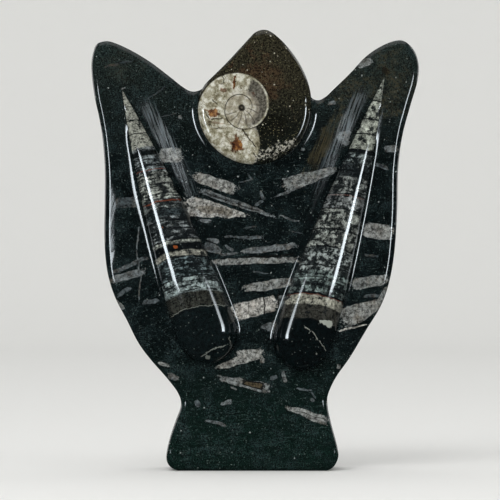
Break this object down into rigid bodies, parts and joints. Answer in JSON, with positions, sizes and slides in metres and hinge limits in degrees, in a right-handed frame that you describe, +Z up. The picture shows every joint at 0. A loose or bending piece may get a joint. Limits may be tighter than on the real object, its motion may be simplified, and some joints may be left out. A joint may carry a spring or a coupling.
{
  "type": "orthoceras fossil",
  "caption": "Polished black fossil-limestone slab carved as a winged tulip on a flared foot, with orthocone and goniatite fossils set in its front.",
  "frame": {"origin": "on the surface that the foot stands on, under the middle of the overall box", "axes": "+Z up the slab, +X to the viewer's right, the carved front faces -Y"},
  "size_m": [0.1862, 0.05, 0.25],
  "materials": {
    "slab_stone": "polished black orthoceras limestone, greenish, with grey-white fossil sections",
    "orthocone_calcite": "polished grey and cream calcite with dark septa, black at the blunt end",
    "goniatite_stone": "polished brown-black limestone round a cream goniatite"
  },
  "bodies": {
    "root": {"fossil_slab": "slab_stone", "left_orthoceras": "orthocone_calcite", "right_orthoceras": "orthocone_calcite", "goniatite_teardrop": "goniatite_stone"}
  },
  "joints": []
}
